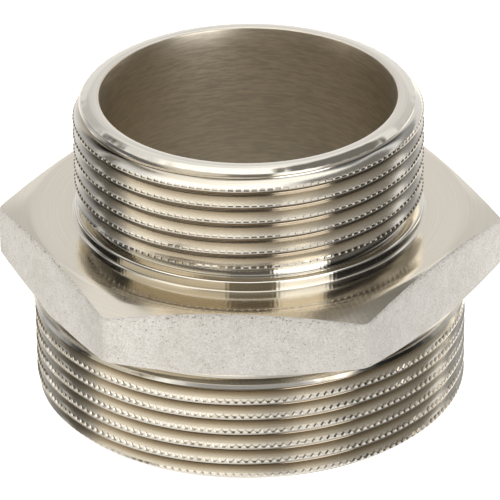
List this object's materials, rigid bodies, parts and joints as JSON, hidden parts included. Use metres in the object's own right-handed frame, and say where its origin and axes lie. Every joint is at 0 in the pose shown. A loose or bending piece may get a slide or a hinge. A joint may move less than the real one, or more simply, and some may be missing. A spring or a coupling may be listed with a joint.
{
  "type": "reducing hex nipple",
  "caption": "One-piece reducing pipe nipple: a short externally threaded barrel above and a wider one below a hexagon with chamfered corners, with a stepped flow bore.",
  "frame": {"origin": "on the threads' axis, in the plane of the large thread's end face", "axes": "+Z along the axis from the large thread to the small one; the hexagon's corners lie on +X and -X and two of its flats face -Y (the front) and +Y"},
  "size_m": [0.0692, 0.0604, 0.0435],
  "materials": {
    "plated_brass": "nickel plated: bright turned threads, necks and rim, satin shot-blasted wrench flats, dull brushed bore"
  },
  "bodies": {
    "root": {"nipple_body": "plated_brass"}
  },
  "joints": []
}
